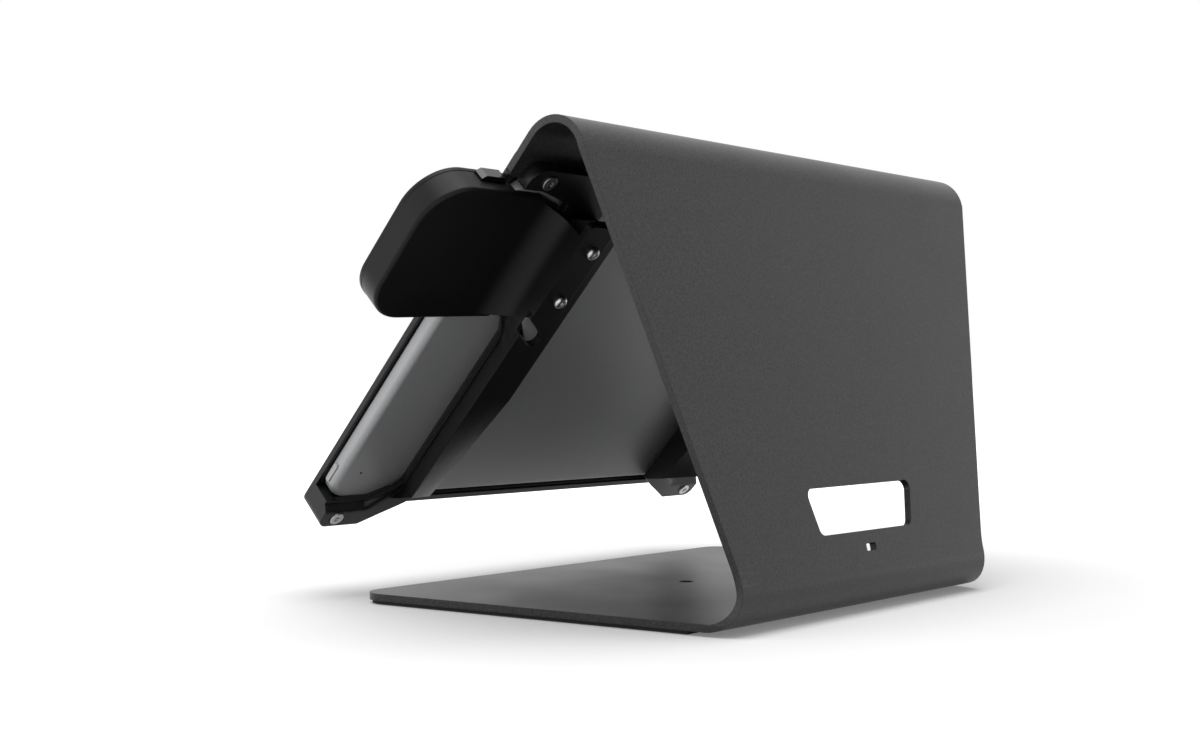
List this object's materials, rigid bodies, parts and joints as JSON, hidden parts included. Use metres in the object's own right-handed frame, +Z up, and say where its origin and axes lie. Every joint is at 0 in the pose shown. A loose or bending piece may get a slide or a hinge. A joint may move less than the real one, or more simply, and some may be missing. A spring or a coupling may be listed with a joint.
{
  "type": "tablet security kiosk stand",
  "caption": "Bent sheet metal counter stand that locks a tablet in a sloping frame, with screwed rear clamps, a card reader pod and a cable opening.",
  "frame": {"origin": "middle of the base pad's underside, on the table", "axes": "+Z up, +X to the user's right as they face the display, +Y from the display towards the back panel"},
  "size_m": [0.3022, 0.2122, 0.1911],
  "materials": {
    "stand_coat": "fine matt powder coat",
    "frame_coat": "fine matt powder coat",
    "pad_rubber": "matt closed foam rubber",
    "screw_steel": "bright plated steel",
    "reader_housing": "matt moulded plastic",
    "reader_body": "fine matt plastic",
    "tablet_metal": "dark grey anodised aluminium",
    "tablet_glass": "polished black glass",
    "home_key": "polished black"
  },
  "bodies": {
    "stand": {"stand_sheet": "stand_coat", "base_pad": "pad_rubber", "front_plate": "frame_coat", "lug_block_right": "frame_coat", "lug_block_left": "frame_coat", "front_boss_right": "frame_coat", "front_boss_left": "frame_coat", "ear_spacer_right": "frame_coat", "ear_spacer_left": "frame_coat", "rear_clamp_right": "frame_coat", "rear_clamp_left": "frame_coat", "clamp_pad_right": "pad_rubber", "clamp_pad_left": "pad_rubber", "screw_upper_right": "screw_steel", "screw_upper_left": "screw_steel", "screw_lower_right": "screw_steel", "screw_lower_left": "screw_steel", "reader_shell": "reader_housing", "reader_front": "reader_housing", "card_reader": "reader_body", "flange_screw_upper": "screw_steel", "flange_screw_lower": "screw_steel", "tablet_shell": "tablet_metal", "tablet_glass": "tablet_glass"},
    "power_key": {"power_button": "tablet_metal"},
    "volume_up_key": {"volume_up_button": "tablet_metal"},
    "volume_down_key": {"volume_down_button": "tablet_metal"},
    "home_key": {"home_button": "home_key"}
  },
  "joints": [
    {"name": "power_press", "type": "slide", "parent": "stand", "child": "power_key", "axis": [-1, 0, 0], "range_m": [0, 0.0005], "stiffness_N_per_m": 3000},
    {"name": "volume_up_press", "type": "slide", "parent": "stand", "child": "volume_up_key", "axis": [0, 0.6901, 0.7237], "range_m": [0, 0.0005], "stiffness_N_per_m": 3000},
    {"name": "volume_down_press", "type": "slide", "parent": "stand", "child": "volume_down_key", "axis": [0, 0.6901, 0.7237], "range_m": [0, 0.0005], "stiffness_N_per_m": 3000},
    {"name": "home_press", "type": "slide", "parent": "stand", "child": "home_key", "axis": [0, 0.7237, -0.6901], "range_m": [0, 0.0003], "stiffness_N_per_m": 3000}
  ]
}
